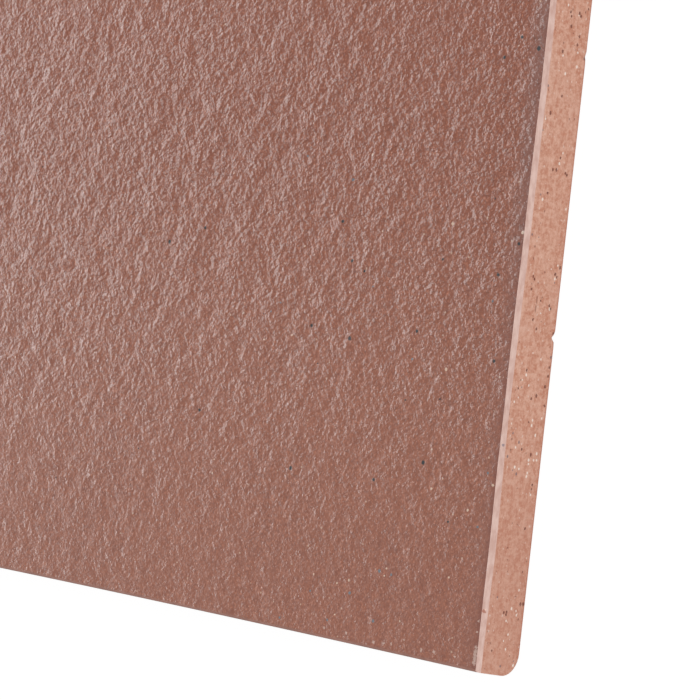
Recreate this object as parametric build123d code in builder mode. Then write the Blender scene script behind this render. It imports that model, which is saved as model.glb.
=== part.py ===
"""Quarry tile: one solid piece of fired clay, extruded as a flat bar and cut to length with a wire.

Millimetres, +Z up. The tile lies on its flat back with the wear face up, and the origin is at the
middle of the back. The bar was extruded along X, so the edges at -Y and +Y were formed by the die,
and the ends at -X and +X are flat cuts.
"""

import os
from math import cos, radians, tan

from build123d import *

# Driving dimensions of the tile
length = 200.0  # from cut end to cut end, along X
width = 200.0  # over the die-formed edges at their widest, along Y
thickness = 12.0  # from the back to the wear face, along Z

# Die-formed edges: each leans outwards from the wear face, then rounds into the back
edge_lean = 5.5  # degrees away from square
back_round = 4.5  # radius where the edge turns into the back
face_round = 0.6  # radius where the edge turns into the wear face

# Cut ends: square to the back, with a bevel along the wear face
end_bevel = 0.85  # both legs of the 45 degree bevel

# The widest line of a die-formed edge is level with the centre of its back rounding
lean = radians(edge_lean)
bulge = (thickness - back_round) * tan(lean) - back_round * (1 / cos(lean) - 1)
face_width = width - 2 * bulge
back_width = face_width + 2 * thickness * tan(lean)

with BuildPart() as tile:
    # The bar's section, seen along X, as the die leaves it
    with BuildSketch(Plane.YZ):
        with BuildLine():
            Polyline(
                (-back_width / 2, 0),
                (back_width / 2, 0),
                (face_width / 2, thickness),
                (-face_width / 2, thickness),
                close=True,
            )
        make_face()
        fillet(vertices().group_by(Axis.Y)[0], radius=back_round)
        fillet(vertices().group_by(Axis.Y)[-1], radius=face_round)
    extrude(amount=length / 2, both=True)

    # The cut piece, seen along Y: square ends, with the wear-face corners bevelled
    with BuildSketch(Plane.XZ):
        with BuildLine():
            Polyline(
                (-length / 2, 0),
                (length / 2, 0),
                (length / 2, thickness),
                (-length / 2, thickness),
                close=True,
            )
        make_face()
        chamfer(vertices().group_by(Axis.Y)[-1], length=end_bevel)
    extrude(amount=width, both=True, mode=Mode.INTERSECT)

tile.part.label = "quarry_tile"

os.makedirs("parts", exist_ok=True)
export_step(tile.part, "parts/quarry_tile.step")

box = tile.part.bounding_box()
print(f"quarry_tile: {box.size.X:.2f} x {box.size.Y:.2f} x {box.size.Z:.2f} mm")
print(f"volume: {tile.part.volume / 1000:.2f} cm3")
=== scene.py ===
# %% [markdown]
# # A quarry tile in Blender
#
# A quarry tile is one piece of fired clay. A bar of wet clay is pushed through a die, a wire cuts it
# into squares, and the kiln bakes it. The measured solid says how large the tile is and where it lies.
# This lesson gives it the surface that the die, the wire and the kiln leave: a pebbled skin on the wear
# face, a dry salmon body on the cut ends, and a pale bevel between the two.

# %% Load the measured tile
import math

import bpy
import numpy as np
from mathutils import Matrix, Vector


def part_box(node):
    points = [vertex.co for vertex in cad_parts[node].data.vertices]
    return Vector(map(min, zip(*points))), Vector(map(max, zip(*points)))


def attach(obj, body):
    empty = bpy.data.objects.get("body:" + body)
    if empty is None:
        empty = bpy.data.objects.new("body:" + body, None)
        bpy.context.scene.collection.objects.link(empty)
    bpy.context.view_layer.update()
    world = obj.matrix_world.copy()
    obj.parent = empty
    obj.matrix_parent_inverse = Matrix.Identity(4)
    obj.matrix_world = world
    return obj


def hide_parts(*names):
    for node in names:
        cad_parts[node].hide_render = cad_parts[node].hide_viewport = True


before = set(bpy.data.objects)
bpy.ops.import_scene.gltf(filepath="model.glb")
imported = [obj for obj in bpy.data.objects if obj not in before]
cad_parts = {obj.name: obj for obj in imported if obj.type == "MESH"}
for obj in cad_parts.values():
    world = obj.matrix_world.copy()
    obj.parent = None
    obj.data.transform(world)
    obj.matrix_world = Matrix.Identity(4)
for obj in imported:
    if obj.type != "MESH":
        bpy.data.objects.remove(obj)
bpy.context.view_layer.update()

MM = 0.001
TILE = "quarry_tile"
low, high = (np.array(corner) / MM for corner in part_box(TILE))
length, width, thickness = high - low
print(f"tile: {length:.1f} x {width:.1f} x {thickness:.1f} mm")

# %% [markdown]
# ## The section that the die leaves
#
# Seen along the bar, each die-formed edge leans outwards from the wear face and then rounds into the
# back. It could be drawn as a curve and extruded. Here every height has one half width, so the section
# is a function of height: an arc of the back rounding, a straight leaning flank, and an arc of the small
# rounding at the face. A function can be asked for any height, so the mesh can be as fine as it needs.

# %% Half width at each height
edge_lean = math.radians(5.5)
back_round = 4.5
face_round = 0.6


def half_width(height):
    """Half of the tile's width at a height: back arc, then straight flank, then face arc.

    The back arc's centre is one radius above the back and one radius inside the widest line. The
    flank is tangent to it and leans in by the edge's lean. The face arc's centre is one radius under
    the wear face, and it is tangent to the flank.
    """
    arc_top = back_round * (1 + math.sin(edge_lean))
    arc_side = width / 2 - back_round + back_round * math.cos(edge_lean)
    face_arc_foot = thickness - face_round * (1 - math.sin(edge_lean))
    flank_end = arc_side - (face_arc_foot - arc_top) * math.tan(edge_lean)
    face_centre = flank_end - face_round * math.cos(edge_lean)
    back_rise = np.clip(back_round - height, -back_round, back_round)
    face_rise = np.clip(height - thickness + face_round, 0, face_round)
    back = width / 2 - back_round + np.sqrt(back_round**2 - back_rise**2)
    flank = arc_side - (height - arc_top) * math.tan(edge_lean)
    face = face_centre + np.sqrt(face_round**2 - face_rise**2)
    return np.where(height < arc_top, back, np.where(height < face_arc_foot, flank, face))


print("half widths, back to face:", np.round(half_width(np.linspace(0, thickness, 7)), 2))

# %% [markdown]
# ## The cut ends
#
# The wire leaves a square end, and the corner along the wear face is then taken off in a small bevel.
# Seen from the side, that is a straight end with a slope at its top, so it is a function of height too.

# %% Half length at each height
end_bevel = 0.85


def half_length(height, bevel):
    """Half of the tile's length at a height: the plain end, less the part of the bevel above its foot."""
    return length / 2 - bevel * np.clip((height - thickness) / end_bevel + 1, 0, 1)


print("half lengths at the back and at the face:", half_length(np.array([0, thickness]), end_bevel))

# %% [markdown]
# ## The camera
#
# The picture shows one corner of the tile from above the cut end. The long sides of that end run
# parallel to the picture plane, so the camera is turned from the face's normal towards +X alone,
# by the view angle, and then rolled a little. The place of the near corner in the picture and its
# distance fix the rest, and no lens shift is needed.

# %% Place the camera
PICTURE = 700  # pixels, both ways
SENSOR = 36.0  # millimetres across the picture
near_corner_pixel = (475.3, 669.4)
view_angle = math.radians(44.0)
roll = math.radians(6.39)
focal_pixels = 2735.0
corner_distance = 547.0


def place_camera(corner):
    """Make the camera that sees one corner of the face at its pixel, at its distance.

    The view direction leans from +Z towards +X by the view angle. The right and up axes of the
    picture are turned about that direction by the roll. The camera sits back from the corner along
    the view direction, less the corner's own offset from the middle of the picture.
    """
    towards_camera = Vector((math.sin(view_angle), 0, math.cos(view_angle)))
    level_right = Vector((math.cos(view_angle), 0, -math.sin(view_angle)))
    level_up = Vector((0, 1, 0))
    right = math.cos(roll) * level_right + math.sin(roll) * level_up
    up = -math.sin(roll) * level_right + math.cos(roll) * level_up
    across = (near_corner_pixel[0] - PICTURE / 2) / focal_pixels * corner_distance
    above = (PICTURE / 2 - near_corner_pixel[1]) / focal_pixels * corner_distance
    spot = Vector(corner) + corner_distance * towards_camera - across * right - above * up
    data = bpy.data.cameras.new("picture_camera")
    data.sensor_width = SENSOR
    data.lens = focal_pixels * SENSOR / PICTURE
    data.clip_start = 0.01
    camera = bpy.data.objects.new("picture_camera", data)
    turn = Matrix((right, up, towards_camera)).transposed().to_4x4()
    camera.matrix_world = Matrix.Translation(spot * MM) @ turn
    bpy.context.scene.collection.objects.link(camera)
    bpy.context.scene.camera = camera
    return camera


near_edge = -float(half_width(np.array(thickness)))
camera = place_camera((length / 2 - end_bevel, near_edge, thickness))
print("camera at", np.round(camera.matrix_world.translation / MM, 1), "mm")

# %% [markdown]
# ## Lines of sight
#
# With the camera in place, each pixel of the picture is a line of sight. Where that line meets the
# tile is where the thing seen at the pixel lies. This is used below for marks, chips and the bevel.

# %% Where a pixel lies on the tile
def seen_at(pixel, axis, level):
    """The point, in millimetres, where a pixel's line of sight meets the plane of one level of an axis."""
    across = (pixel[0] - PICTURE / 2) / focal_pixels
    above = (PICTURE / 2 - pixel[1]) / focal_pixels
    ray = camera.matrix_world.to_3x3() @ Vector((across, above, -1))
    start = camera.matrix_world.translation / MM
    return start + ray * ((level - start[axis]) / ray[axis])


print("the picture's middle lies at", np.round(seen_at((PICTURE / 2, PICTURE / 2), 2, thickness), 1))

# %% [markdown]
# ## Slow waves for a thing made of clay
#
# Wet clay never stays quite straight. A sum of a few dozen plane waves with random headings gives a
# smooth, even roughness of any chosen scale. It could be a texture with a Displace modifier, but a
# formula in numpy gives the same numbers in every run and can be used on edges too.

# %% A sum of plane waves
def clay_waves(x, y, shortest, longest, seed, count=48):
    """Smooth random heights with a spread of about one: the sum of cosines of random plane waves.

    Each wave has a random heading, a random start, and a wavelength between the two limits.
    """
    dice = np.random.default_rng(seed)
    heading = dice.uniform(0, 2 * np.pi, count)
    wavelength = np.exp(dice.uniform(np.log(shortest), np.log(longest), count))
    start = dice.uniform(0, 2 * np.pi, count)
    along = np.multiply.outer(x, np.cos(heading)) + np.multiply.outer(y, np.sin(heading))
    return np.cos(2 * np.pi * along / wavelength + start).sum(axis=-1) * math.sqrt(2 / count)


sample = np.linspace(-length / 2, length / 2, 500)
print(f"spread of the waves along one line: {clay_waves(sample, 0 * sample, 3, 8, seed=3).std():.2f}")

# %% [markdown]
# ## The tile's mesh
#
# The face is a fine grid, the rim is a stack of rings, and the back is a coarser grid. Each ring is
# the rectangle of one height, walked once around, so the rim is a function of height and of the way
# around. The face's own border is the first ring, and the last ring is sewn to the coarse back, four
# small steps to one large one, so the skin is closed with no doubled points.

# %% Heights of the rings
face_cells = 248
steps_to_one = 4
back_cells = face_cells // steps_to_one


def ring_heights():
    """Heights from the face down: the face arc, the bevel's foot, the flank, then the back arc."""
    face_arc = np.linspace(math.pi / 2, edge_lean, 4)
    back_arc = np.linspace(edge_lean, -math.pi / 2, 10)
    face_part = thickness - face_round + face_round * np.sin(face_arc)
    back_part = back_round + back_round * np.sin(back_arc)
    bevel_part = thickness - end_bevel * np.array([0.5, 1.0])
    flank_part = np.linspace(thickness - end_bevel, back_part[0], 8)[1:-1]
    return np.unique(np.round(np.concatenate([face_part, bevel_part, flank_part, back_part]), 4))[::-1]


levels = ring_heights()
print(len(levels), "rings, from", levels[0], "to", levels[-1])

# %% [markdown]
# A bevel that is rubbed by hand is never quite even. Its width wanders in slow waves, and its foot dips
# and rises along the end. The dips are placed where the picture shows the pale band grow or shrink.

# %% Let the bevel wander
bevel_spread = 0.14
dip_fades = 5.0
dip_corner = 0.125  # share of the half width in which a dip fades out towards a corner
foot_dips = {  # the pixel, the reach along the end and the depth of each, in mm
    "high": ((549.0, 50.0), 14.0, 0.30),
    "upper": ((528.0, 215.0), 26.0, 0.18),
    "middle": ((515.0, 400.0), 20.0, -0.24),
    "low": ((496.0, 550.0), 13.0, 0.34),
}


def bevel_at(y, side):
    """The bevel's width along a cut end: never less than drawn, and up to a third more in slow waves."""
    wave = clay_waves(y, 0 * y, 25, 90, seed=355 + side)
    return end_bevel * (1 + bevel_spread * np.clip(1 + wave, 0, 2.4))


def foot_dip(y):
    """How far the bevel's foot dips down a cut end: the sum of a few bell curves along it."""
    dip = 0 * y
    for pixel, reach, depth in foot_dips.values():
        middle = seen_at(pixel, 0, length / 2)[1]
        dip = dip + depth * np.exp(-(((y - middle) / reach) ** 2))
    return dip


print(f"bevel from {bevel_at(sample, 0).min():.2f} to {bevel_at(sample, 0).max():.2f} mm wide")
print(f"foot from {foot_dip(sample).min():.2f} to {foot_dip(sample).max():.2f} mm lower than drawn")

# %% [markdown]
# Now the points can be worked out. One function serves the face and the rim: it takes a place on a unit
# square and a height, and stretches the square to that height's rectangle.

# %% Work out the points
def walk_round(cells):
    """The way around a square from -1 to 1, counter-clockwise from its near left corner."""
    step = np.linspace(-1, 1, cells + 1)[:-1]
    edge = np.ones(cells)
    a = np.concatenate([step, edge, -step, -edge])
    b = np.concatenate([-edge, step, edge, -step])
    return a, b


def ring_points(a, b, height):
    """Points of the surface at a height: the unit square stretched to that height's rectangle.

    On a cut end the rings near the bevel's foot are lowered with it. The lowering is full at the foot,
    and fades to nothing at the face, further down the end, and at the tile's corners.
    """
    y = b * half_width(height)
    bevel = np.where(a > 0, bevel_at(y, 0), bevel_at(y, 1))
    x = a * half_length(height, bevel)
    lowered = np.interp(height, [thickness - dip_fades, thickness - end_bevel, thickness], [0, 1, 0])
    inside = np.clip((1 - np.abs(b)) / dip_corner, 0, 1)
    return np.stack([x, y, height - lowered * inside * foot_dip(y * np.sign(a))], axis=-1)


unit = np.linspace(-1, 1, face_cells + 1)
face_b, face_a = np.meshgrid(unit, unit, indexing="ij")
face_points = ring_points(face_a, face_b, np.full_like(face_a, thickness))
around_a, around_b = walk_round(face_cells)
ring_height, ring_a = np.meshgrid(levels[1:], around_a, indexing="ij")
ring_b = np.broadcast_to(around_b, ring_a.shape)
rim_points = ring_points(ring_a, ring_b, ring_height)
print("points:", face_points.size // 3, "on the face,", rim_points.size // 3, "on the rim")

# %% [markdown]
# The back is flat, so it needs fewer points. It stops a little inside the last ring, and the strip
# between the two is where fine steps are sewn to coarse ones.

# %% Points of the back
back_inset = 3.0
coarse = np.linspace(-1, 1, back_cells + 1)
back_b, back_a = np.meshgrid(coarse, coarse, indexing="ij")
back_x = back_a * (length / 2 - back_inset)
back_y = back_b * (float(half_width(np.array(0.0))) - back_inset)
back_points = np.stack([back_x, back_y, 0 * back_a], axis=-1)
print("points:", back_points.size // 3, "on the back")

# %% [markdown]
# ## Relief of the wear face
#
# The relief only ever goes inwards, so the tile never grows past its measured size. The wear face
# gets a roll of a few millimetres on slower waves, shallower towards the die-formed edges, where the
# die smooths the clay. It also drops a little beside the bevel. Anything finer would need far more
# points than it is worth, so the fine grain is left to the bump of the material.

# %% Press the relief into the face
pebble_depth = 0.08
smooth_edge = 110.0
edge_share = 0.45
end_roll = 0.16
end_roll_reach = 0.5


def relief_strength(y):
    """How rough the face is across the bar: weak at the die-formed edges, full in the middle."""
    inwards = np.clip((width / 2 - np.abs(y)) / smooth_edge, 0, 1)
    return edge_share + (1 - edge_share) * inwards * inwards * (3 - 2 * inwards)


def press_relief(points):
    """Lower each point of the face by a roll, slower waves and a drop at the ends, never above flat."""
    x, y = points[..., 0], points[..., 1]
    pebbles = clay_waves(x, y, 3.0, 8.0, seed=3, count=64)
    roll_slowly = clay_waves(x, y, 9.0, 30.0, seed=4)
    hollow = np.clip(1.6 + 0.8 * pebbles + 0.8 * roll_slowly, 0, 4)
    to_end = np.abs(x[:, [0, -1]]).min(axis=1, keepdims=True) - np.abs(x)
    drop = end_roll * np.exp(-np.clip(to_end, 0, None) / end_roll_reach)
    depth = pebble_depth * relief_strength(y) * hollow + drop
    return points - np.stack([0 * x, 0 * x, depth], axis=-1)


face_points = press_relief(face_points)
print(f"face from {face_points[..., 2].min():.3f} to {face_points[..., 2].max():.3f} mm high")

# %% [markdown]
# ## Bowed edges and chips
#
# A soft bar draws in a little as it dries, so the die-formed edges are slightly hollow along their
# length. Two small chips are broken out of the arris at the foot of the cut end that shows, where their
# pixels' lines of sight meet it. Moving the points that are there keeps the skin closed, which cutting
# with a Boolean would put at risk.

# %% Bow the long edges and break the chips
edge_bow = 0.4
chip_crowding = 0.55
chips_in_arris = {  # the pixel, the reach and the depth of each, in mm
    "middle": ((554.3, 338.0), 0.6, 0.42),
    "top": ((585.6, 57.0), 0.5, 0.15),
}


def bow_edges(points):
    """Draw the die-formed edges in a little between the corners, as a shallow parabola along the bar."""
    share = points[..., 0] / (length / 2)
    draw = edge_bow * (1 - share * share)
    squeezed = points.copy()
    squeezed[..., 1] *= 1 - draw / (width / 2)
    return squeezed


def chip_arris(points):
    """Break chips out of the arris between a cut end and the back.

    Points near a chip first crowd towards its middle along the arris, so that it comes out narrow, and
    then move in and up. Both fade with the distance as a bell curve.
    """
    chipped = points.copy()
    for pixel, reach, depth in chips_in_arris.values():
        centre = np.array(seen_at(pixel, 2, 0.0))
        away = chipped - centre
        nearby = np.exp(-((away / (3 * reach)) ** 2).sum(axis=-1))
        away[..., 1] *= 1 - chip_crowding * nearby
        near = np.exp(-((away / reach) ** 2).sum(axis=-1))
        chipped = centre + away + np.multiply.outer(near, [-depth, 0, depth])
    return chipped


face_points = bow_edges(face_points)
rim_points = chip_arris(bow_edges(rim_points))
back_points = bow_edges(back_points)
print(f"deepest chip: {rim_points[-1, :, 2].max():.2f} mm up from the back")

# %% [markdown]
# ## One closed skin
#
# The points are joined in the order in which they were made: the face's grid, the rings and the back's
# grid. The strip between the rings and the back is sewn last. It could all be bridged by hand in Edit
# Mode, but the order of the points already says which ones are neighbours. Every face runs
# counter-clockwise seen from outside, so the normals point out.

# %% Join the points
def border(index):
    """Indices of a square grid's outline, in the order of the walk around it."""
    return np.concatenate([index[0, :-1], index[:-1, -1], index[-1, :0:-1], index[:0:-1, 0]])


def grid_faces(index):
    """Four-sided faces of a grid, counter-clockwise as the rows and columns grow."""
    corners = [index[:-1, :-1], index[:-1, 1:], index[1:, 1:], index[1:, :-1]]
    return np.stack(corners, axis=-1).reshape(-1, 4)


face_index = np.arange(face_points.size // 3).reshape(face_a.shape)
rim_index = face_index.size + np.arange(rim_points.size // 3).reshape(ring_a.shape)
back_index = face_index.size + rim_index.size + np.arange(back_points.size // 3).reshape(back_a.shape)
rings = np.vstack([border(face_index), rim_index])
next_round = np.roll(rings, -1, axis=1)
rim_faces = np.stack([rings[:-1], rings[1:], next_round[1:], next_round[:-1]], axis=-1)
back_ring = border(back_index)
sewn = [back_ring, np.roll(back_ring, -1)]
sewn += [np.roll(rings[-1], -step)[::steps_to_one] for step in range(steps_to_one, -1, -1)]
sewn_faces = np.stack(sewn, axis=-1)
all_points = np.vstack([part.reshape(-1, 3) for part in (face_points, rim_points, back_points)])
quads = np.vstack([grid_faces(face_index), rim_faces.reshape(-1, 4), grid_faces(back_index.T)])
print(len(quads), "four-sided faces and", len(sewn_faces), "sewn ones")

# %% [markdown]
# The mesh is shaded smooth, because clay has no facets. Only the edges that turn by more than the
# sharp angle stay crisp: those of the bevel, the cut ends and the chips.

# %% Make the mesh
sharp_angle = math.radians(28)
mesh = bpy.data.meshes.new("quarry_tile_skin")
mesh.from_pydata((all_points * MM).tolist(), [], quads.tolist() + sewn_faces.tolist())
tile = bpy.data.objects.new("quarry_tile_skin", mesh)
bpy.context.scene.collection.objects.link(tile)
mesh.shade_smooth()
mesh.set_sharp_from_angle(angle=sharp_angle)
triangles = sum(len(face.vertices) - 2 for face in mesh.polygons)
print(len(mesh.vertices), "points,", triangles, "triangles")

# %% [markdown]
# ## Which surface is which
#
# The wear face, the cut ends, their bevels, the die-formed edges and the back each came from a
# different tool, so each has a finish of its own. The faces know which they are from the order in
# which they were made: the face's grid first, then the rings side by side, and the back last.

# %% Number the faces by finish
FACE, CUT, BEVEL, EDGE, BACK = range(5)
ring_middle = (levels[:-1] + levels[1:]) / 2
side_of = np.repeat([EDGE, CUT, EDGE, CUT], face_cells)
finish_of_ring = np.broadcast_to(side_of, (len(ring_middle), side_of.size)).copy()
finish_of_ring[(finish_of_ring == CUT) & (ring_middle[:, None] > thickness - end_bevel)] = BEVEL
finish = np.concatenate(
    [
        np.full(face_cells**2, FACE),
        finish_of_ring.reshape(-1),
        np.full(back_cells**2 + len(sewn_faces), BACK),
    ]
)
mesh.polygons.foreach_set("material_index", finish.astype(np.int32))
print("faces of each finish:", np.bincount(finish))

# %% [markdown]
# ## Helpers for materials
#
# A material is a small network of nodes. It could be laid out by hand in the Shader Editor, but a script
# can say what each node is for. These helpers add one node at a time and join it to what came before,
# so that each material below reads from its coordinates to its shader.

# %% Node helpers
def plug(tree, socket, value):
    """Join a socket to another one, or set it to a plain number or colour."""
    if isinstance(value, bpy.types.NodeSocket):
        tree.links.new(value, socket)
    else:
        socket.default_value = value


def put(tree, kind, inputs=None, **settings):
    """Add a node, choose its settings, and fill its inputs by name or number."""
    made = tree.nodes.new(kind)
    for name, value in settings.items():
        setattr(made, name, value)
    for name, value in (inputs or {}).items():
        plug(tree, made.inputs[name], value)
    return made


def sums(tree, operation, first, second=0.0, clamp=False):
    """One step of arithmetic."""
    inputs = {0: first, 1: second}
    return put(tree, "ShaderNodeMath", inputs, operation=operation, use_clamp=clamp).outputs[0]


def ramp(tree, value, start, end, low_out=0.0, high_out=1.0):
    """Rise smoothly from one value to another between two limits."""
    inputs = {"Value": value, "From Min": start, "From Max": end, "To Min": low_out, "To Max": high_out}
    return put(tree, "ShaderNodeMapRange", inputs, interpolation_type="SMOOTHSTEP").outputs[0]


def blend(tree, share, first, second):
    """Mix two colours by a share from 0 to 1."""
    made = put(tree, "ShaderNodeMix", {0: share, 6: first, 7: second}, data_type="RGBA")
    return made.outputs[2]


def colour(red, green, blue):
    """A colour given as 0 to 255, turned into the linear light that a shader takes."""
    share = np.array([red, green, blue]) / 255
    linear = np.where(share <= 0.04045, share / 12.92, ((share + 0.055) / 1.055) ** 2.4)
    return (*linear.tolist(), 1.0)


print("a middle grey in linear light:", np.round(colour(128, 128, 128), 3))

# %% [markdown]
# ## Effects that the finishes share
#
# Three effects serve the finishes: inclusions, which are grains of iron or chalk that show as dots
# wherever a surface cuts them; a mark, which is one such spot at a chosen place; and a fine grain.
# Each is a node group, made once and used with different sizes, so a change to one reaches them all.

# %% Make and use node groups
def new_group(name, inputs, outputs):
    """An empty node group with named number or vector inputs and number outputs."""
    group = bpy.data.node_groups.new(name, "ShaderNodeTree")
    for label, value in inputs.items():
        kind = "NodeSocketVector" if value is None else "NodeSocketFloat"
        socket = group.interface.new_socket(label, in_out="INPUT", socket_type=kind)
        if value is not None:
            socket.default_value = value
    for label in outputs:
        group.interface.new_socket(label, in_out="OUTPUT", socket_type="NodeSocketFloat")
    return group, group.nodes.new("NodeGroupInput").outputs, group.nodes.new("NodeGroupOutput").inputs


def use_group(tree, group, inputs):
    """Place a node group in a material with its own values."""
    made = tree.nodes.new("ShaderNodeGroup")
    made.node_tree = group
    for name, value in inputs.items():
        plug(tree, made.inputs[name], value)
    return made.outputs


print("node groups so far:", len(bpy.data.node_groups))

# %% [markdown]
# A flat pattern of cells gives the inclusions, one to a cell at most. A mark needs only the distance to
# its centre. The grain is Blender's own noise, with its size given in millimetres.

# %% Inclusions, marks and grain
def make_inclusions():
    """Dots of random size, drawn in the first two coordinates of a place on a flat surface.

    Each cell of a flat pattern holds a dot if one random number of its own is under the share. The
    distance to the cell's centre is compared with a radius that another of its numbers sets.
    """
    wanted = {"Place": None, "Spacing": 10.0, "Radius": 0.5, "Share": 1.0}
    group, given, gives = new_group("Inclusions", wanted, ["Mask"])
    scale = sums(group, "DIVIDE", 1.0, given["Spacing"])
    inputs = {"Vector": given["Place"], "Scale": scale}
    cells = put(group, "ShaderNodeTexVoronoi", inputs, voronoi_dimensions="2D")
    dice = put(group, "ShaderNodeSeparateColor", {0: cells.outputs["Color"]}).outputs
    distance = sums(group, "MULTIPLY", cells.outputs["Distance"], given["Spacing"])
    reach = sums(group, "MULTIPLY", given["Radius"], sums(group, "ADD", 0.45, dice[1]))
    dot = ramp(group, distance, sums(group, "MULTIPLY", reach, 0.5), reach, 1.0, 0.0)
    chosen = sums(group, "LESS_THAN", dice[0], given["Share"])
    plug(group, gives["Mask"], sums(group, "MULTIPLY", dot, chosen))
    return group


def make_mark():
    """One spot: full out to half of its reach from its centre, then fading to nothing."""
    group, given, gives = new_group("Mark", {"Place": None, "Centre": None, "Reach": 0.4}, ["Mask"])
    inputs = {0: given["Place"], 1: given["Centre"]}
    distance = put(group, "ShaderNodeVectorMath", inputs, operation="DISTANCE").outputs["Value"]
    inner = sums(group, "MULTIPLY", given["Reach"], 0.5)
    plug(group, gives["Mask"], ramp(group, distance, inner, given["Reach"], 1.0, 0.0))
    return group


def make_grain():
    """Fine fractal noise from 0 to 1 with grains of a given size in millimetres."""
    wanted = {"Place": None, "Grain": 1.0, "Detail": 2.0, "Roughness": 0.5}
    group, given, gives = new_group("Clay grain", wanted, ["Height"])
    scale = sums(group, "DIVIDE", 1.0, given["Grain"])
    inputs = {"Vector": given["Place"], "Scale": scale, "Detail": given["Detail"]}
    inputs["Roughness"] = given["Roughness"]
    noise = put(group, "ShaderNodeTexNoise", inputs)
    plug(group, gives["Height"], noise.outputs[0])
    return group


inclusions = make_inclusions()
mark = make_mark()
grain = make_grain()
print("groups:", inclusions.name, mark.name, grain.name)

# %% [markdown]
# ## Starting a material
#
# Every finish is painted in the tile's own millimetres, by Object coordinates, so a pattern runs on over
# an edge without seams and needs no unwrapping. These helpers change the place before a pattern is drawn
# in it: stretched, a grain turns into drag lines; turned, two patterns never line up; shaken, a round
# spot comes out ragged, as a torn grain does.

# %% Start a material and move its place
def new_finish(name):
    """A material with its shader and the tile's place in millimetres."""
    material = bpy.data.materials.new(name)
    material.use_nodes = True
    tree = material.node_tree
    shader = tree.nodes["Principled BSDF"]
    spot = put(tree, "ShaderNodeTexCoord").outputs["Object"]
    place = put(tree, "ShaderNodeVectorMath", {0: spot, 3: 1 / MM}, operation="SCALE").outputs[0]
    return material, tree, shader, place


def axes(tree, place):
    """The three coordinates of a place, one by one."""
    return put(tree, "ShaderNodeSeparateXYZ", {0: place}).outputs


def flat(tree, across, above):
    """A place on a flat surface, from two coordinates."""
    return put(tree, "ShaderNodeCombineXYZ", {"X": across, "Y": above}).outputs[0]


def stretch(tree, place, x, y, z):
    """Scale a place along each axis, so that a pattern is drawn out along the others."""
    return put(tree, "ShaderNodeVectorMath", {0: place, 1: (x, y, z)}, operation="MULTIPLY").outputs[0]


def turned(tree, place, degrees):
    """Turn a place about the face's normal."""
    inputs = {"Vector": place, "Angle": math.radians(degrees)}
    return put(tree, "ShaderNodeVectorRotate", inputs, rotation_type="Z_AXIS").outputs[0]


def shaken(tree, place, size, amount):
    """Move a place about by noise, so that round marks drawn in it come out ragged."""
    noise = put(tree, "ShaderNodeTexNoise", {"Vector": place, "Scale": 1 / size, "Detail": 1.0})
    centred = {0: noise.outputs["Color"], 1: (0.5, 0.5, 0.5)}
    way = put(tree, "ShaderNodeVectorMath", centred, operation="SUBTRACT").outputs[0]
    moved = {0: way, 1: (amount, amount, amount), 2: place}
    return put(tree, "ShaderNodeVectorMath", moved, operation="MULTIPLY_ADD").outputs[0]


print("one metre of Object coordinates is", round(1 / MM), "of a finish's millimetres")

# %% [markdown]
# A finish is then built up as a painter would: a ground colour, patterns over it, spots over those, and
# last the bump, which tilts the shading as real relief would.

# %% Patterns, paint and bump
def clay_noise(tree, place, size, detail, roughness=0.5):
    """Noise from 0 to 1 with grains of a size in millimetres."""
    inputs = {"Place": place, "Grain": size, "Detail": detail, "Roughness": roughness}
    return use_group(tree, grain, inputs)["Height"]


def dots(tree, place, spacing, radius, share):
    """Scattered inclusions as one mask: how far apart, how large, and the share of cells that has one."""
    inputs = {"Place": place, "Spacing": spacing, "Radius": radius, "Share": share}
    return use_group(tree, inclusions, inputs)["Mask"]


def paint(tree, tone, mask, strength, over):
    """Lay one colour over another where a mask says so, at a strength."""
    return blend(tree, sums(tree, "MULTIPLY", mask, strength), tone, over)


def bump(tree, shader, height):
    """Tilt the shading by a height in millimetres."""
    made = put(tree, "ShaderNodeBump", {"Height": height, "Distance": MM, "Strength": 1.0})
    plug(tree, shader.inputs["Normal"], made.outputs[0])


def edge_distance(tree, spot):
    """How far a place lies inside the nearest die-formed edge."""
    return sums(tree, "SUBTRACT", width / 2, sums(tree, "ABSOLUTE", spot["Y"]))


print("materials so far:", len(bpy.data.materials))

# %% [markdown]
# ## Marks that can be told apart
#
# A few grains, pits and scuffs are large enough to know by sight. Each is named by where it lies, with
# its pixel in the picture and its size. Its place on the tile is where the line of sight through that
# pixel meets the surface. The many smaller ones are left to the random inclusions.

# %% Sizes of marks, and a mask of many
TINY, FINE, SMALL, LARGE = 0.28, 0.36, 0.48, 0.60  # millimetres from a mark's centre to its rim


def marks(tree, place, spots, axis, level, scale=(1, 1, 1)):
    """All the named marks on one plane, as one mask, in a place that was stretched by scale."""
    mask = 0.0
    for pixel, reach in spots.values():
        centre = np.multiply(seen_at(pixel, axis, level), scale)
        inputs = {"Place": place, "Centre": centre.tolist(), "Reach": reach}
        mask = sums(tree, "MAXIMUM", mask, use_group(tree, mark, inputs)["Mask"])
    return mask


print("marks are", TINY, "to", LARGE, "mm from centre to rim")

# %% [markdown]
# ## The wear face
#
# The face is a reddish-brown fired skin with a grain like orange peel. It is a little glossy, so most
# of what shows is the grain's small slopes catching the light. One layer of noise shows its square
# lattice as long threads, so the bump is the sum of five noises and two layers of small pimples, each of
# its own size and turned its own way. The die rubs the clay near its edges, so the grain is weaker there.

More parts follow.
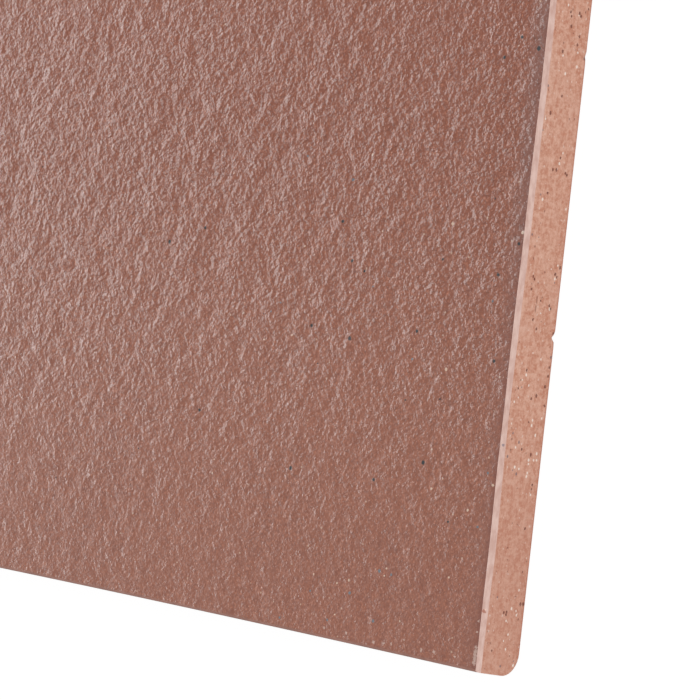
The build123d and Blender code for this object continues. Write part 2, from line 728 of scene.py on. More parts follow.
# %% Grain of the wear face
grain_layers = {  # size in mm, turn in degrees, detail, rise in mm, and share at a die-formed edge
    "roll": (3.4, 25, 1.0, 0.80, 0.37),
    "pebbles": (1.36, 10, 0.0, 0.335, 0.34),
    "small_pebbles": (1.02, 47, 0.0, 0.27, 0.34),
    "skin": (0.68, 71, 0.0, 0.18, 0.30),
    "finest": (0.44, 33, 0.0, 0.14, 0.34),
}
pimple_layers = {  # spacing in mm, turn in degrees, radius in mm, rise in mm, and share at an edge
    "pimples": (1.3, 15, 0.55, 0.12, 0.32),
    "small_pimples": (0.85, 52, 0.36, 0.09, 0.28),
}
pimple_share = 0.5
grain_shorter = 1.18  # the grain is shorter across the bar than along it


def layered_grain(tree, place, inwards):
    """The grain's height: the sum of its layers, each turned its own way and weaker at the edges."""
    shorter = stretch(tree, place, 1.0, grain_shorter, 1.0)
    height = 0.0
    for size, degrees, detail, rise, at_edge in grain_layers.values():
        noise = clay_noise(tree, turned(tree, shorter, degrees), size, detail)
        share = ramp(tree, inwards, 0.0, smooth_edge, rise * at_edge, rise)
        height = sums(tree, "ADD", height, sums(tree, "MULTIPLY", noise, share))
    for spacing, degrees, radius, rise, at_edge in pimple_layers.values():
        pimples = dots(tree, turned(tree, shorter, degrees), spacing, radius, pimple_share)
        share = ramp(tree, inwards, 0.0, smooth_edge, rise * at_edge, rise)
        height = sums(tree, "ADD", height, sums(tree, "MULTIPLY", pimples, share))
    return height


print("layers in the grain:", len(grain_layers) + len(pimple_layers))

# %% [markdown]
# The kiln gives the skin its browns. They drift slowly and are mottled finely, and on one side the flame
# has turned them warmer and darker. Beside a bevel there is a greyer strip, with a dark, frayed line of
# painted shade where the face rolls down away from the lamp, and the rim along a die-formed edge is a
# little darker.

# %% Browns of the wear face
face_tones = {
    "brown": colour(127, 71, 51),
    "warm_brown": colour(133, 75, 53),
    "mottle": colour(140, 81, 58),
    "flash": colour(128, 64, 38),
    "pale_dust": colour(184, 120, 95),
    "dark_dust": colour(106, 58, 46),
    "greyer": colour(125, 83, 73),
    # painted shade: the dark line where the face rolls down beside a bevel, away from the lamp
    "painted_roll_shade": colour(122, 70, 55),
    "rim": colour(122, 70, 57),
    "chalk": colour(222, 196, 174),
    "scuff": colour(192, 164, 152),
    "blue": colour(98, 118, 128),
    "iron": colour(34, 46, 50),
}
flash_reach = (-60.0, 25.0)  # where the kiln's flame begins to darken the face, and where it is full
greyer_reach = (-60.0, 20.0)  # where the face beside a bevel begins to turn grey, and where it is full
painted_roll_shade_reach = (0.0, 40.0)  # where the dark line beside a bevel begins to fade, and where it is faint


def kiln_browns(tree, place, mottle, inwards):
    """The skin's colour: drift, mottle and flame, then dust, the greyer strip and the painted shade beside
    the bevel, and the rim.
    """
    spot = axes(tree, place)
    drift = ramp(tree, clay_noise(tree, place, 45.0, 2.0), 0.3, 0.7)
    tone = blend(tree, drift, face_tones["brown"], face_tones["warm_brown"])
    tone = blend(tree, ramp(tree, mottle, 0.3, 0.7), tone, face_tones["mottle"])
    tone = blend(tree, ramp(tree, spot["Y"], *flash_reach, 0.0, 0.8), tone, face_tones["flash"])
    dust = clay_noise(tree, stretch(tree, place, 1.0, 0.7, 1.0), 0.4, 2.0, 0.6)
    tone = blend(tree, ramp(tree, dust, 0.5, 0.78, 0.0, 0.7), tone, face_tones["pale_dust"])
    tone = blend(tree, ramp(tree, dust, 0.24, 0.47, 0.65, 0.0), tone, face_tones["dark_dust"])
    to_end = sums(tree, "SUBTRACT", length / 2 - end_bevel, sums(tree, "ABSOLUTE", spot["X"]))
    greyer = ramp(tree, spot["Y"], *greyer_reach, 0.25, 0.7)
    greyer = sums(tree, "MULTIPLY", greyer, ramp(tree, to_end, 0.5, 6.0, 1.0, 0.0))
    tone = blend(tree, greyer, tone, face_tones["greyer"])
    # painted shade: a dark, frayed line beside the bevel, where the face rolls down away from the lamp and
    # shows no sheen
    frayed = sums(tree, "ADD", to_end, ramp(tree, mottle, 0.3, 0.7, -0.35, 0.35))
    painted_roll_shade = ramp(tree, spot["Y"], *painted_roll_shade_reach, 0.75, 0.25)
    painted_roll_shade = sums(tree, "MULTIPLY", painted_roll_shade, ramp(tree, frayed, 0.2, 1.4, 1.0, 0.0))
    tone = blend(tree, painted_roll_shade, tone, face_tones["painted_roll_shade"])
    return blend(tree, ramp(tree, inwards, 1.0, 2.0, 0.5, 0.0), tone, face_tones["rim"])


print("colours on the wear face:", len(face_tones))

# %% [markdown]
# Grains of iron melt into blue-black spots in the skin, and some of them only show as a blue-grey haze.
# Grains of chalk stay cream.

# %% Iron and chalk in the wear face
iron_on_face = {
    "left": ((169.0, 241.5), LARGE),
    "left_beside": ((205.0, 227.7), SMALL),
    "left_low": ((199.0, 410.0), SMALL),
    "middle": ((349.5, 338.3), LARGE),
    "middle_beside": ((311.4, 325.5), SMALL),
    "middle_above": ((351.3, 260.7), SMALL),
    "middle_right": ((364.0, 271.0), FINE),
    "middle_top": ((342.6, 221.2), SMALL),
    "low_left": ((290.3, 467.9), LARGE),
    "low_middle": ((373.2, 479.6), SMALL),
    "low_right": ((422.9, 462.5), LARGE),
    "beside_bevel": ((518.6, 243.8), SMALL),
    "beside_bevel_low": ((498.1, 274.7), SMALL),
    "beside_bevel_lower": ((493.7, 361.1), SMALL),
    "low_chip": ((448.0, 521.8), FINE),
    "right": ((416.7, 330.9), SMALL),
    "right_high": ((442.2, 259.3), FINE),
    "top": ((521.7, 36.8), SMALL),
    "top_left": ((503.9, 57.4), SMALL),
    "top_right": ((538.4, 48.3), LARGE),
}
blue_on_face = {
    "left": ((187.7, 269.7), TINY),
    "middle": ((271.0, 311.3), TINY),
    "middle_beside": ((280.5, 302.5), TINY),
    "bottom_left": ((327.0, 620.0), FINE),
    "bottom_right": ((373.0, 621.0), SMALL),
    "bottom_above": ((379.0, 571.0), SMALL),
    "bottom_beside": ((390.9, 574.8), FINE),
    "bottom_middle": ((349.4, 593.0), SMALL),
    "bottom_first": ((279.4, 617.6), FINE),
    "bottom_faint": ((309.9, 590.8), TINY),
    "upper": ((352.3, 179.6), SMALL),
    "upper_left": ((307.7, 156.0), FINE),
    "middle_low": ((373.0, 286.5), TINY),
    "beside_bevel": ((492.2, 301.1), FINE),
    "lower": ((411.9, 359.1), FINE),
    "by_bevel": ((487.7, 473.0), FINE),
    "by_bevel_low": ((477.5, 526.9), FINE),
}
chalk_on_face = {
    "high": ((304.0, 246.2), TINY),
    "middle": ((263.6, 339.2), TINY),
    "low": ((348.7, 580.1), FINE),
    "low_left": ((336.5, 583.0), TINY),
    "low_right": ((384.2, 575.8), TINY),
    "low_above": ((386.0, 568.2), TINY),
    "low_beside": ((448.5, 577.6), TINY),
    "edge": ((399.5, 621.2), TINY),
    "edge_left": ((334.6, 614.4), TINY),
    "right": ((452.7, 223.7), SMALL),
    "lower_right": ((446.1, 369.5), SMALL),
    "by_bevel": ((521.9, 232.4), SMALL),
    "by_bevel_low": ((492.5, 485.1), FINE),
    "low_lone": ((467.5, 510.2), FINE),
    "low_first": ((430.8, 488.6), FINE),
    "upper": ((372.3, 154.5), FINE),
    "low_pale": ((313.5, 574.1), TINY),
}
print("dark grains on the wear face:", len(iron_on_face), "iron,", len(blue_on_face), "blue")
print("pale grains on the wear face:", len(chalk_on_face), "chalk")

# %% [markdown]
# Handling rubs the rim of the face pale in places, most of all at the corner.

# %% Scuffs on the wear face
scuffs_on_face = {
    "edge_first": ((324.0, 628.0), FINE),
    "edge_left": ((346.0, 633.0), FINE),
    "edge_middle": ((373.0, 642.3), SMALL),
    "edge_pair_left": ((383.0, 643.5), FINE),
    "edge_pair_right": ((391.0, 643.5), FINE),
    "edge_above": ((404.0, 640.0), FINE),
    "edge_right": ((421.0, 650.0), SMALL),
    "edge_right_beside": ((434.0, 652.0), SMALL),
    "edge_last": ((454.5, 656.5), FINE),
    "corner_high": ((475.6, 647.5), SMALL),
    "corner_upper": ((475.0, 651.5), LARGE),
    "corner_middle": ((474.5, 655.0), LARGE),
    "corner_lower": ((474.0, 659.0), LARGE),
    "corner_low": ((473.6, 663.0), LARGE),
    "beside_bevel": ((478.1, 621.2), FINE),
    "beside_bevel_low": ((476.6, 631.6), FINE),
}
print("scuffs on the wear face:", len(scuffs_on_face))

# %% [markdown]
# The finish puts these together: browns, spots, a satin gloss that is duller on the iron, and the bump
# of the grain.

# %% Wear face finish
on_face = (1.0, 1.0, 0.0)  # marks on the face run straight through its relief
face_plane = (2, thickness, on_face)


def make_wear_face():
    """Brown skin: slow drift and fine mottle of browns, spots, satin gloss and a fine bump."""
    material, tree, shader, place = new_finish("fired_wear_face")
    mottle = clay_noise(tree, place, 1.8, 3.0, 0.6)
    inwards = edge_distance(tree, axes(tree, place))
    tone = kiln_browns(tree, place, mottle, inwards)
    ragged = shaken(tree, stretch(tree, place, *on_face), 0.4, 0.3)
    torn = shaken(tree, stretch(tree, place, *on_face), 0.35, 0.8)
    chalk = sums(tree, "MULTIPLY", dots(tree, ragged, 4.0, 0.22, 0.25), 0.6)
    chalk = sums(tree, "MAXIMUM", chalk, marks(tree, ragged, chalk_on_face, *face_plane))
    tone = paint(tree, tone, chalk, 0.7, face_tones["chalk"])
    scuffs = marks(tree, torn, scuffs_on_face, *face_plane)
    tone = paint(tree, tone, scuffs, 0.7, face_tones["scuff"])
    blue = marks(tree, ragged, blue_on_face, *face_plane)
    tone = paint(tree, tone, blue, 0.8, face_tones["blue"])
    iron = dots(tree, ragged, 9.0, 0.22, 0.08)
    iron = sums(tree, "MAXIMUM", iron, marks(tree, ragged, iron_on_face, *face_plane))
    tone = paint(tree, tone, iron, 0.95, face_tones["iron"])
    plug(tree, shader.inputs["Base Color"], tone)
    gloss = ramp(tree, mottle, 0.2, 0.8, 0.335, 0.415)
    dull = sums(tree, "MULTIPLY", sums(tree, "MAXIMUM", iron, blue), 0.8)
    plug(tree, shader.inputs["Roughness"], sums(tree, "MAXIMUM", gloss, dull))
    bump(tree, shader, layered_grain(tree, place, inwards))
    shader.inputs["Specular IOR Level"].default_value = 0.6
    return material


wear_face = make_wear_face()
print(wear_face.name, "has", len(wear_face.node_tree.nodes), "nodes")

# %% [markdown]
# ## The cut ends
#
# The wire opens the body of the tile: pale salmon clay, quite matt, with fine drag lines along the
# cut, small torn pits and grains of chalk. The pits could be modelled, but they are under a millimetre
# across, so a dent in the bump and a dark colour, which is painted shade in the pits, do as well.

# %% Pits and slits in the cut end
pits_in_end = {
    "top": ((579.7, 13.4), LARGE),
    "top_low": ((581.1, 16.3), LARGE),
    "top_left": ((571.0, 12.0), SMALL),
    "top_left_low": ((571.6, 16.2), SMALL),
    "top_right": ((588.6, 9.2), FINE),
    "top_beside": ((571.4, 26.4), LARGE),
    "top_line": ((579.4, 36.7), SMALL),
    "top_line_low": ((577.5, 45.0), SMALL),
    "top_arris": ((584.5, 58.7), LARGE),
    "high_left": ((562.8, 51.3), LARGE),
    "high_pair": ((562.0, 96.0), SMALL),
    "high_black": ((550.6, 112.9), LARGE),
    "crack_high": ((560.5, 158.0), SMALL),
    "crack_left": ((552.9, 169.6), SMALL),
    "crack": ((556.4, 169.9), LARGE),
    "crack_right": ((565.4, 173.3), SMALL),
    "crack_right_low": ((566.9, 175.2), SMALL),
    "crack_low": ((547.6, 193.0), SMALL),
    "upper_right": ((560.2, 267.8), LARGE),
    "upper_right_mid": ((555.3, 274.4), LARGE),
    "upper_right_low": ((556.8, 277.3), SMALL),
    "upper_left": ((533.4, 276.4), SMALL),
    "upper_left_low": ((534.5, 279.2), SMALL),
    "upper_small": ((531.6, 289.0), SMALL),
    "middle": ((549.3, 305.9), SMALL),
    "middle_tail": ((550.6, 308.8), SMALL),
    "middle_dot": ((536.4, 329.0), SMALL),
    "chip": ((553.6, 333.6), SMALL),
    "arris": ((549.4, 367.7), SMALL),
    "arris_low": ((548.1, 376.3), SMALL),
    "middle_left": ((526.8, 370.2), SMALL),
    "middle_right": ((545.0, 386.8), LARGE),
    "middle_low": ((536.4, 395.8), LARGE),
    "middle_low_left": ((531.2, 398.6), SMALL),
    "low_red": ((521.8, 449.2), SMALL),
    "low_pale": ((530.8, 454.8), LARGE),
    "low_crack": ((532.2, 485.0), SMALL),
    "low_crack_below": ((531.4, 489.2), FINE),
    "low": ((525.0, 528.6), SMALL),
    "bottom_black": ((520.4, 604.3), LARGE),
    "bottom_black_beside": ((523.3, 604.0), LARGE),
    "bottom": ((506.7, 612.0), SMALL),
    "bottom_tail": ((506.0, 614.6), SMALL),
    "bottom_beside": ((503.8, 612.6), SMALL),
    "corner": ((491.7, 650.7), FINE),
    "slit_beside": ((540.7, 300.7), FINE),
    "slit_below": ((533.0, 319.6), SMALL),
    "middle_arris": ((544.6, 405.9), SMALL),
    "middle_small": ((518.2, 388.4), FINE),
    "low_dot": ((528.8, 422.0), FINE),
}
slits_in_end = {
    "middle_high": ((537.0, 299.5), FINE),
    "middle_low": ((535.7, 308.5), FINE),
}
print("torn spots in the cut end:", len(pits_in_end), "pits,", len(slits_in_end), "slits")
print("the topmost pit lies at", np.round(seen_at(pits_in_end["top"][0], 0, length / 2), 2))

# %% [markdown]
# Where the wire meets a grain it either cuts it or tears it out. The cut ones show as grey or cream
# dashes.

# %% Iron and chalk in the cut end
iron_in_end = {
    "upper": ((532.2, 234.5), SMALL),
    "arris": ((550.9, 357.4), LARGE),
    "middle_beside": ((521.7, 387.2), FINE),
    "middle_high": ((513.0, 433.1), SMALL),
    "middle": ((519.0, 442.3), LARGE),
    "middle_left": ((507.6, 456.5), LARGE),
    "middle_low": ((516.2, 474.0), LARGE),
    "corner": ((500.2, 666.2), SMALL),
    "bevel_high": ((548.3, 85.6), SMALL),
    "bevel_low": ((543.0, 130.1), FINE),
}
chalk_in_end = {
    "top_left": ((568.5, 5.0), SMALL),
    "top_beside": ((579.0, 15.4), FINE),
    "top_right": ((577.8, 52.7), SMALL),
    "top_low": ((576.9, 67.0), LARGE),
    "top_grey": ((563.1, 55.5), SMALL),
    "high": ((565.3, 73.7), LARGE),
    "high_left": ((545.6, 118.7), SMALL),
    "crack_high": ((563.0, 153.1), SMALL),
    "crack": ((559.4, 163.6), LARGE),
    "crack_low": ((566.0, 209.2), SMALL),
    "upper": ((542.5, 199.3), LARGE),
    "upper_right": ((554.8, 279.0), LARGE),
    "upper_right_low": ((549.6, 309.3), LARGE),
    "middle": ((526.3, 374.9), LARGE),
    "middle_beside": ((541.0, 359.4), SMALL),
    "middle_low": ((514.3, 401.8), SMALL),
    "low_high": ((535.3, 435.3), LARGE),
    "low_left": ((515.6, 447.5), SMALL),
    "low_right": ((536.7, 453.7), LARGE),
    "low_middle": ((528.6, 460.2), LARGE),
    "low_middle_tail": ((528.4, 464.0), SMALL),
    "low_pair_left": ((533.5, 460.3), SMALL),
    "low_pair_right": ((536.6, 460.3), SMALL),
    "low_below": ((514.7, 467.1), LARGE),
    "low_grey": ((526.4, 476.6), LARGE),
    "low_grey_high": ((527.2, 473.0), SMALL),
    "low_last": ((530.5, 494.9), SMALL),
    "bottom": ((511.5, 608.7), LARGE),
    "bottom_right": ((516.0, 611.0), SMALL),
    "bottom_right_low": ((516.3, 615.2), SMALL),
    "bottom_low": ((508.0, 634.6), SMALL),
    "corner": ((505.5, 649.3), SMALL),
    "corner_arris": ((513.0, 665.5), LARGE),
    "corner_high": ((503.5, 640.9), FINE),
    "bottom_high": ((519.0, 590.3), SMALL),
    "bottom_middle": ((506.1, 621.0), SMALL),
    "upper_arris": ((557.9, 265.6), SMALL),
    "upper_pale": ((551.2, 269.1), FINE),
    "upper_middle": ((540.7, 313.3), FINE),
    "middle_high": ((533.0, 353.0), FINE),
    "middle_pale": ((528.8, 385.5), SMALL),
    "middle_left": ((518.2, 397.5), FINE),
    "middle_left_high": ((522.4, 379.9), FINE),
    "low_arris": ((541.7, 418.5), SMALL),
    "low_first": ((532.5, 420.3), SMALL),
    "low_second": ((531.6, 425.5), LARGE),
    "low_third": ((511.5, 423.4), FINE),
    "low_beside": ((518.9, 469.0), SMALL),
}
print("grains in the cut end:", len(iron_in_end), "iron,", len(chalk_in_end), "chalk")

# %% [markdown]
# The body's own colour is a mottle of salmon tones with paler drag lines and patches. It is duller near
# the die-formed edges and redder along the lower arris.

# %% Tones of the cut end
body_tones = {
    "red_salmon": colour(190, 130, 106),
    "pale_salmon": colour(215, 168, 147),
    "pale_speck": colour(226, 186, 166),
    "dark_speck": colour(176, 112, 90),
    "drag": colour(220, 176, 156),
    "patch": colour(215, 172, 154),
    "near_edge": colour(182, 128, 110),
    "arris": colour(180, 114, 92),
    "chalk": colour(238, 224, 212),
    "iron": colour(112, 104, 110),
    # painted shade inside the torn pits and slits
    "pit": colour(116, 54, 42),
}


def salmon_body(tree, place, drag, mottle):
    """The body's colour: mottle and specks, then drag lines, patches, duller sides and a redder arris."""
    spot = axes(tree, place)
    tone = blend(tree, ramp(tree, mottle, 0.34, 0.66), body_tones["red_salmon"], body_tones["pale_salmon"])
    specks = clay_noise(tree, place, 0.5, 1.0)
    tone = blend(tree, ramp(tree, specks, 0.55, 0.8, 0.0, 0.6), tone, body_tones["pale_speck"])
    tone = blend(tree, ramp(tree, specks, 0.2, 0.45, 0.6, 0.0), tone, body_tones["dark_speck"])
    tone = blend(tree, ramp(tree, drag, 0.45, 0.75, 0.0, 0.5), tone, body_tones["drag"])
    patch = clay_noise(tree, place, 9.0, 3.0)
    tone = blend(tree, ramp(tree, patch, 0.5, 0.75, 0.0, 0.4), tone, body_tones["patch"])
    sides = ramp(tree, edge_distance(tree, spot), 20.0, 60.0, 0.3, 0.0)
    tone = blend(tree, sides, tone, body_tones["near_edge"])
    return blend(tree, ramp(tree, spot["Z"], 0.1, 0.5, 0.6, 0.0), tone, body_tones["arris"])


print("colours on the cut ends:", len(body_tones))

# %% [markdown]
# The finish lays the grains and the pits over the body. The random ones are drawn in a flat place of the
# cut, with the two ends set apart so that they don't repeat each other.

# %% Cut end finish
along_cut = (1.75, 1.4, 1.75)  # marks on a cut end are smaller, and drawn out along the cut
along_slit = (2.2, 0.36, 2.2)  # a slit is a mark drawn out much further
end_plane = (0, length / 2, along_cut)
slit_plane = (0, length / 2, along_slit)


def make_cut_end():
    """Salmon body: tones in streaks along the cut, chalk dashes, torn pits darkened with painted shade,
    and a matt bump.
    """
    material, tree, shader, place = new_finish("wire_cut_body")
    drag = clay_noise(tree, stretch(tree, place, 1.0, 0.10, 1.0), 0.7, 3.0, 0.6)
    mottle = clay_noise(tree, place, 1.2, 4.0, 0.7)
    tone = salmon_body(tree, place, drag, mottle)
    ragged = shaken(tree, stretch(tree, place, *along_cut), 0.3, 0.35)
    spot = axes(tree, ragged)
    ends_apart = sums(tree, "ADD", sums(tree, "MULTIPLY", spot["X"], 0.4), spot["Y"])
    end_on = flat(tree, ends_apart, spot["Z"])
    chalk = sums(tree, "MULTIPLY", dots(tree, end_on, 2.3, 0.34, 0.25), 0.45)
    chalk = sums(tree, "MAXIMUM", chalk, marks(tree, ragged, chalk_in_end, *end_plane))
    tone = paint(tree, tone, chalk, 0.9, body_tones["chalk"])
    iron = dots(tree, end_on, 6.0, 0.36, 0.1)
    iron = sums(tree, "MAXIMUM", iron, marks(tree, ragged, iron_in_end, *end_plane))
    tone = paint(tree, tone, iron, 0.75, body_tones["iron"])
    pits = sums(tree, "MULTIPLY", dots(tree, end_on, 3.4, 0.3, 0.2), 0.6)
    pits = sums(tree, "MAXIMUM", pits, marks(tree, ragged, pits_in_end, *end_plane))
    slits = marks(tree, stretch(tree, place, *along_slit), slits_in_end, *slit_plane)
    pits = sums(tree, "MAXIMUM", pits, sums(tree, "MULTIPLY", slits, 0.6))
    # painted shade: the pits and slits are darkened as their hollows would be in shade
    tone = blend(tree, ramp(tree, pits, 0.2, 1.0, 0.0, 0.75), tone, body_tones["pit"])
    plug(tree, shader.inputs["Base Color"], tone)
    relief = sums(tree, "ADD", sums(tree, "MULTIPLY", drag, 0.06), sums(tree, "MULTIPLY", mottle, 0.14))
    bump(tree, shader, sums(tree, "SUBTRACT", relief, sums(tree, "MULTIPLY", pits, 0.3)))
    shader.inputs["Roughness"].default_value = 0.85
    shader.inputs["Specular IOR Level"].default_value = 0.3
    return material


cut_end = make_cut_end()
print(cut_end.name, "has", len(cut_end.node_tree.nodes), "nodes")

# %% [markdown]
# ## The bevel
#
# Rubbing off the corner leaves a pale, dry band. It is warmer along its foot, where it meets the cut
# end, and it has a few nicks and grains of its own. One material for the band and the cut end would
# need a mask between them, so the band has its own.

# %% Marks in the bevel
nicks_in_bevel = {
    "low_left": ((483.6, 611.2), SMALL),
    "low_middle": ((485.2, 612.4), FINE),
    "low_right": ((487.4, 610.6), SMALL),
    "low_high": ((487.0, 608.0), FINE),
}
chalk_in_bevel = {
    "low": ((485.9, 609.8), FINE),
}
iron_in_bevel = {
    "low": ((503.2, 445.2), FINE),
    "upper": ((521.9, 290.5), FINE),
}
print("marks in the bevel:", len(nicks_in_bevel) + len(chalk_in_bevel) + len(iron_in_bevel))

# %% [markdown]
# The finish measures how far a place lies from the bevel's foot, and lets a noise drawn out along the
# band fray the line between its two tones.

# %% Bevel finish
bevel_tones = {
    "rubbed": colour(196, 157, 145),
    "pale": colour(216, 184, 173),
    "foot": colour(200, 148, 127),
    "nick": colour(164, 100, 80),
    "chalk": colour(238, 200, 182),
    "iron": colour(112, 104, 116),
}
bevel_plane = (2, thickness - end_bevel / 2)


def make_bevel():
    """Pale rubbed clay along the wear face of a cut end, warmer where it meets the end."""
    material, tree, shader, place = new_finish("rubbed_bevel")
    rub = clay_noise(tree, stretch(tree, place, 1.0, 0.3, 1.0), 0.9, 4.0, 0.65)
    tone = blend(tree, ramp(tree, rub, 0.3, 0.7), bevel_tones["rubbed"], bevel_tones["pale"])
    from_foot = sums(tree, "SUBTRACT", length / 2, sums(tree, "ABSOLUTE", axes(tree, place)["X"]))
    frayed = sums(tree, "ADD", from_foot, sums(tree, "MULTIPLY", rub, 0.35))
    tone = blend(tree, ramp(tree, frayed, -0.02, 0.26, 0.9, 0.0), tone, bevel_tones["foot"])
    ragged = shaken(tree, place, 0.4, 0.3)
    tone = paint(tree, tone, marks(tree, ragged, nicks_in_bevel, *bevel_plane), 0.85, bevel_tones["nick"])
    tone = paint(tree, tone, marks(tree, ragged, chalk_in_bevel, *bevel_plane), 0.9, bevel_tones["chalk"])
    tone = paint(tree, tone, marks(tree, ragged, iron_in_bevel, *bevel_plane), 0.7, bevel_tones["iron"])
    plug(tree, shader.inputs["Base Color"], tone)
    bump(tree, shader, sums(tree, "MULTIPLY", rub, 0.08))
    shader.inputs["Roughness"].default_value = 0.7
    return material


bevel_band = make_bevel()
print(bevel_band.name, "has", len(bevel_band.node_tree.nodes), "nodes")

# %% [markdown]
# ## The die-formed edges
#
# The die leaves these smooth. They fired to the same brown as the face, with faint lines along the bar
# and a few iron spots.

# %% Edge finish
edge_tones = {
    "brown": colour(128, 84, 70),
    "pale_brown": colour(146, 100, 86),
    "lines": colour(156, 112, 98),
    "iron": colour(46, 58, 62),
}


def make_die_edge():
    """Smooth brown skin with faint lines along the bar."""
    material, tree, shader, place = new_finish("die_formed_edge")
    lines = clay_noise(tree, stretch(tree, place, 0.05, 1.0, 1.0), 0.7, 3.0, 0.6)
    mottle = clay_noise(tree, place, 2.5, 4.0, 0.6)
    tone = blend(tree, ramp(tree, mottle, 0.3, 0.7), edge_tones["brown"], edge_tones["pale_brown"])
    tone = blend(tree, ramp(tree, lines, 0.5, 0.8, 0.0, 0.5), tone, edge_tones["lines"])
    spot = axes(tree, shaken(tree, place, 0.4, 0.3))
    iron = dots(tree, flat(tree, spot["X"], spot["Z"]), 6.0, 0.26, 0.4)
    tone = paint(tree, tone, iron, 0.9, edge_tones["iron"])
    plug(tree, shader.inputs["Base Color"], tone)
    relief = sums(tree, "ADD", sums(tree, "MULTIPLY", lines, 0.04), sums(tree, "MULTIPLY", mottle, 0.08))
    bump(tree, shader, relief)
    plug(tree, shader.inputs["Roughness"], ramp(tree, mottle, 0.2, 0.8, 0.5, 0.65))
    return material


die_edge = make_die_edge()
print(die_edge.name, "has", len(die_edge.node_tree.nodes), "nodes")

# %% [markdown]
# ## The back
#
# The back is bedded in mortar and never seen in use. It is the same skin, duller and a little paler from
# the kiln car, with the drag lines of the die. Nothing is pressed into it.

# %% Back finish
back_tones = {
    "brown": colour(150, 102, 86),
    "pale_brown": colour(168, 122, 106),
    "lines": colour(178, 134, 117),
    "iron": colour(60, 62, 64),
}


def make_back():
    """Dull, slightly dusty brown skin with drag lines along the bar."""
    material, tree, shader, place = new_finish("bedding_back")
    lines = clay_noise(tree, stretch(tree, place, 0.06, 1.0, 1.0), 1.5, 4.0, 0.6)
    mottle = clay_noise(tree, place, 6.0, 5.0, 0.65)
    tone = blend(tree, ramp(tree, mottle, 0.3, 0.7), back_tones["brown"], back_tones["pale_brown"])
    tone = blend(tree, ramp(tree, lines, 0.5, 0.8, 0.0, 0.5), tone, back_tones["lines"])
    iron = dots(tree, shaken(tree, place, 0.4, 0.3), 8.0, 0.28, 0.4)
    tone = paint(tree, tone, iron, 0.9, back_tones["iron"])
    plug(tree, shader.inputs["Base Color"], tone)
    relief = sums(tree, "ADD", sums(tree, "MULTIPLY", lines, 0.12), sums(tree, "MULTIPLY", mottle, 0.25))
    bump(tree, shader, relief)
    shader.inputs["Roughness"].default_value = 0.85
    return material


bedding_back = make_back()
print(bedding_back.name, "has", len(bedding_back.node_tree.nodes), "nodes")

# %% [markdown]
# ## Dressing the skin
#
# A mesh holds its materials in a list, and each of its faces holds a number in that list. The faces were
# numbered above, so the finishes only have to be added in the order of their numbers.

# %% Give the mesh its finishes
finishes = {FACE: wear_face, CUT: cut_end, BEVEL: bevel_band, EDGE: die_edge, BACK: bedding_back}
for number in sorted(finishes):
    mesh.materials.append(finishes[number])
print("finishes:", [material.name for material in mesh.materials])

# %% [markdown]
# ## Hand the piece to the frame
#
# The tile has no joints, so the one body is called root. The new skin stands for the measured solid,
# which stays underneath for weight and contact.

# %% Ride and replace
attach(tile, "root")
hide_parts(TILE)
print(tile.name, "rides on root and stands for", TILE)

# %% [markdown]
# ## The floor
#
# The tile lies on a plain white floor. A floor lit by the lamps alone would shade off towards the back,
# so the camera and mirrored rays see it mostly as plain white. A share of real light is kept for the
# tile's soft shadow.

# %% Rays that show a thing to the camera
def seen_rays(tree):
    """One for the rays that show a thing to the camera, straight, mirrored or through glass."""
    rays = put(tree, "ShaderNodeLightPath").outputs
    seen = sums(tree, "ADD", rays["Is Camera Ray"], rays["Is Glossy Ray"], clamp=True)
    return sums(tree, "ADD", seen, rays["Is Transmission Ray"], clamp=True)


plain_white_share = 0.9
print("share of plain white in the floor:", plain_white_share)

# %% [markdown]
# The floor itself is one square, large enough to run out of the picture on every side. It lies a hair
# under the tile's back, so that the two surfaces never flicker through each other.

# %% Floor
floor_half = 3.0  # metres
floor_gap = 0.02 * MM


def make_floor():
    """A large flat square just under the back, mostly plain white to the camera."""
    turns = [(-1, -1), (1, -1), (1, 1), (-1, 1)]
    corners = [(a * floor_half, b * floor_half, 0) for a, b in turns]
    data = bpy.data.meshes.new("floor")
    data.from_pydata(corners, [], [(0, 1, 2, 3)])
    floor = bpy.data.objects.new("floor", data)
    floor.location.z = -floor_gap
    bpy.context.scene.collection.objects.link(floor)
    material = bpy.data.materials.new("white_floor")
    material.use_nodes = True
    tree = material.node_tree
    shader = tree.nodes["Principled BSDF"]
    shader.inputs["Base Color"].default_value = (0.8, 0.8, 0.8, 1.0)
    shader.inputs["Roughness"].default_value = 0.9
    shader.inputs["Specular IOR Level"].default_value = 0.0
    glow = put(tree, "ShaderNodeEmission", {"Color": (1, 1, 1, 1), "Strength": 1.05})
    share = sums(tree, "MULTIPLY", seen_rays(tree), plain_white_share)
    mixed = put(tree, "ShaderNodeMixShader", {0: share, 1: shader.outputs[0], 2: glow.outputs[0]})
    plug(tree, tree.nodes["Material Output"].inputs["Surface"], mixed.outputs[0])
    data.materials.append(material)
    return floor


floor = make_floor()
print("floor:", 2 * floor_half, "m wide")

# %% [markdown]
# ## The surroundings
#
# Most of the light is soft and white, as in a light tent. The world gives it evenly from all sides. To
# the camera and in mirrored rays the world is plain white, so its strength can be set for the tile alone.

# %% World
world_strength = 0.765


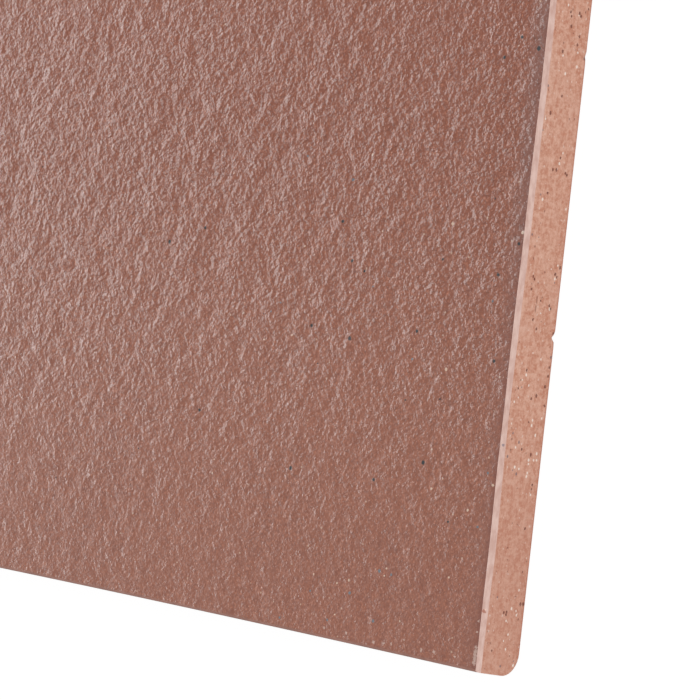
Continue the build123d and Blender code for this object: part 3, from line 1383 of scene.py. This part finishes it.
def make_world(strength):
    """Even white surroundings that light the tile at a strength, and show as plain white."""
    world = bpy.data.worlds.new("studio")
    world.use_nodes = True
    tree = world.node_tree
    light = tree.nodes["Background"]
    light.inputs["Color"].default_value = (1, 1, 1, 1)
    light.inputs["Strength"].default_value = strength
    backdrop = put(tree, "ShaderNodeBackground", {"Color": (1, 1, 1, 1), "Strength": 1.0})
    seen = seen_rays(tree)
    mixed = put(tree, "ShaderNodeMixShader", {0: seen, 1: light.outputs[0], 2: backdrop.outputs[0]})
    plug(tree, tree.nodes["World Output"].inputs["Surface"], mixed.outputs[0])
    bpy.context.scene.world = world
    return world


world = make_world(world_strength)
print("world:", world.name, "at a strength of", world_strength)

# %% [markdown]
# ## The lamps
#
# Two lamps do the rest. A long, low lamp stands on the left, near where the face mirrors the camera, so
# the slopes of the grain that face it shine and the others stay brown. A smaller one lights the cut end.
# The colours go to the screen as they are, with the Standard view.

# %% Lamps
def make_lamp(name, azimuth, elevation, distance, across, tall, power):
    """A flat lamp aimed at the tile from a compass direction, an elevation and a distance in metres."""
    turn, rise = math.radians(azimuth), math.radians(elevation)
    towards = Vector((math.cos(turn) * math.cos(rise), math.sin(turn) * math.cos(rise), math.sin(rise)))
    data = bpy.data.lights.new(name, "AREA")
    data.shape = "RECTANGLE"
    data.size = across
    data.size_y = tall
    data.energy = power
    lamp = bpy.data.objects.new(name, data)
    aim = towards.to_track_quat("Z", "Y").to_matrix().to_4x4()
    lamp.matrix_world = Matrix.Translation(towards * distance) @ aim
    bpy.context.scene.collection.objects.link(lamp)
    return lamp


grain_light = make_lamp(
    "grain_light", azimuth=172, elevation=8.5, distance=3.0, across=3.6, tall=1.2, power=59.0
)
end_light = make_lamp(
    "end_light", azimuth=5, elevation=40, distance=2.0, across=1.6, tall=1.6, power=11.6
)
bpy.context.scene.view_settings.view_transform = "Standard"
for lamp in (grain_light, end_light):
    print(lamp.name, "at", np.round(lamp.matrix_world.translation, 2), "m,", lamp.data.energy, "W")
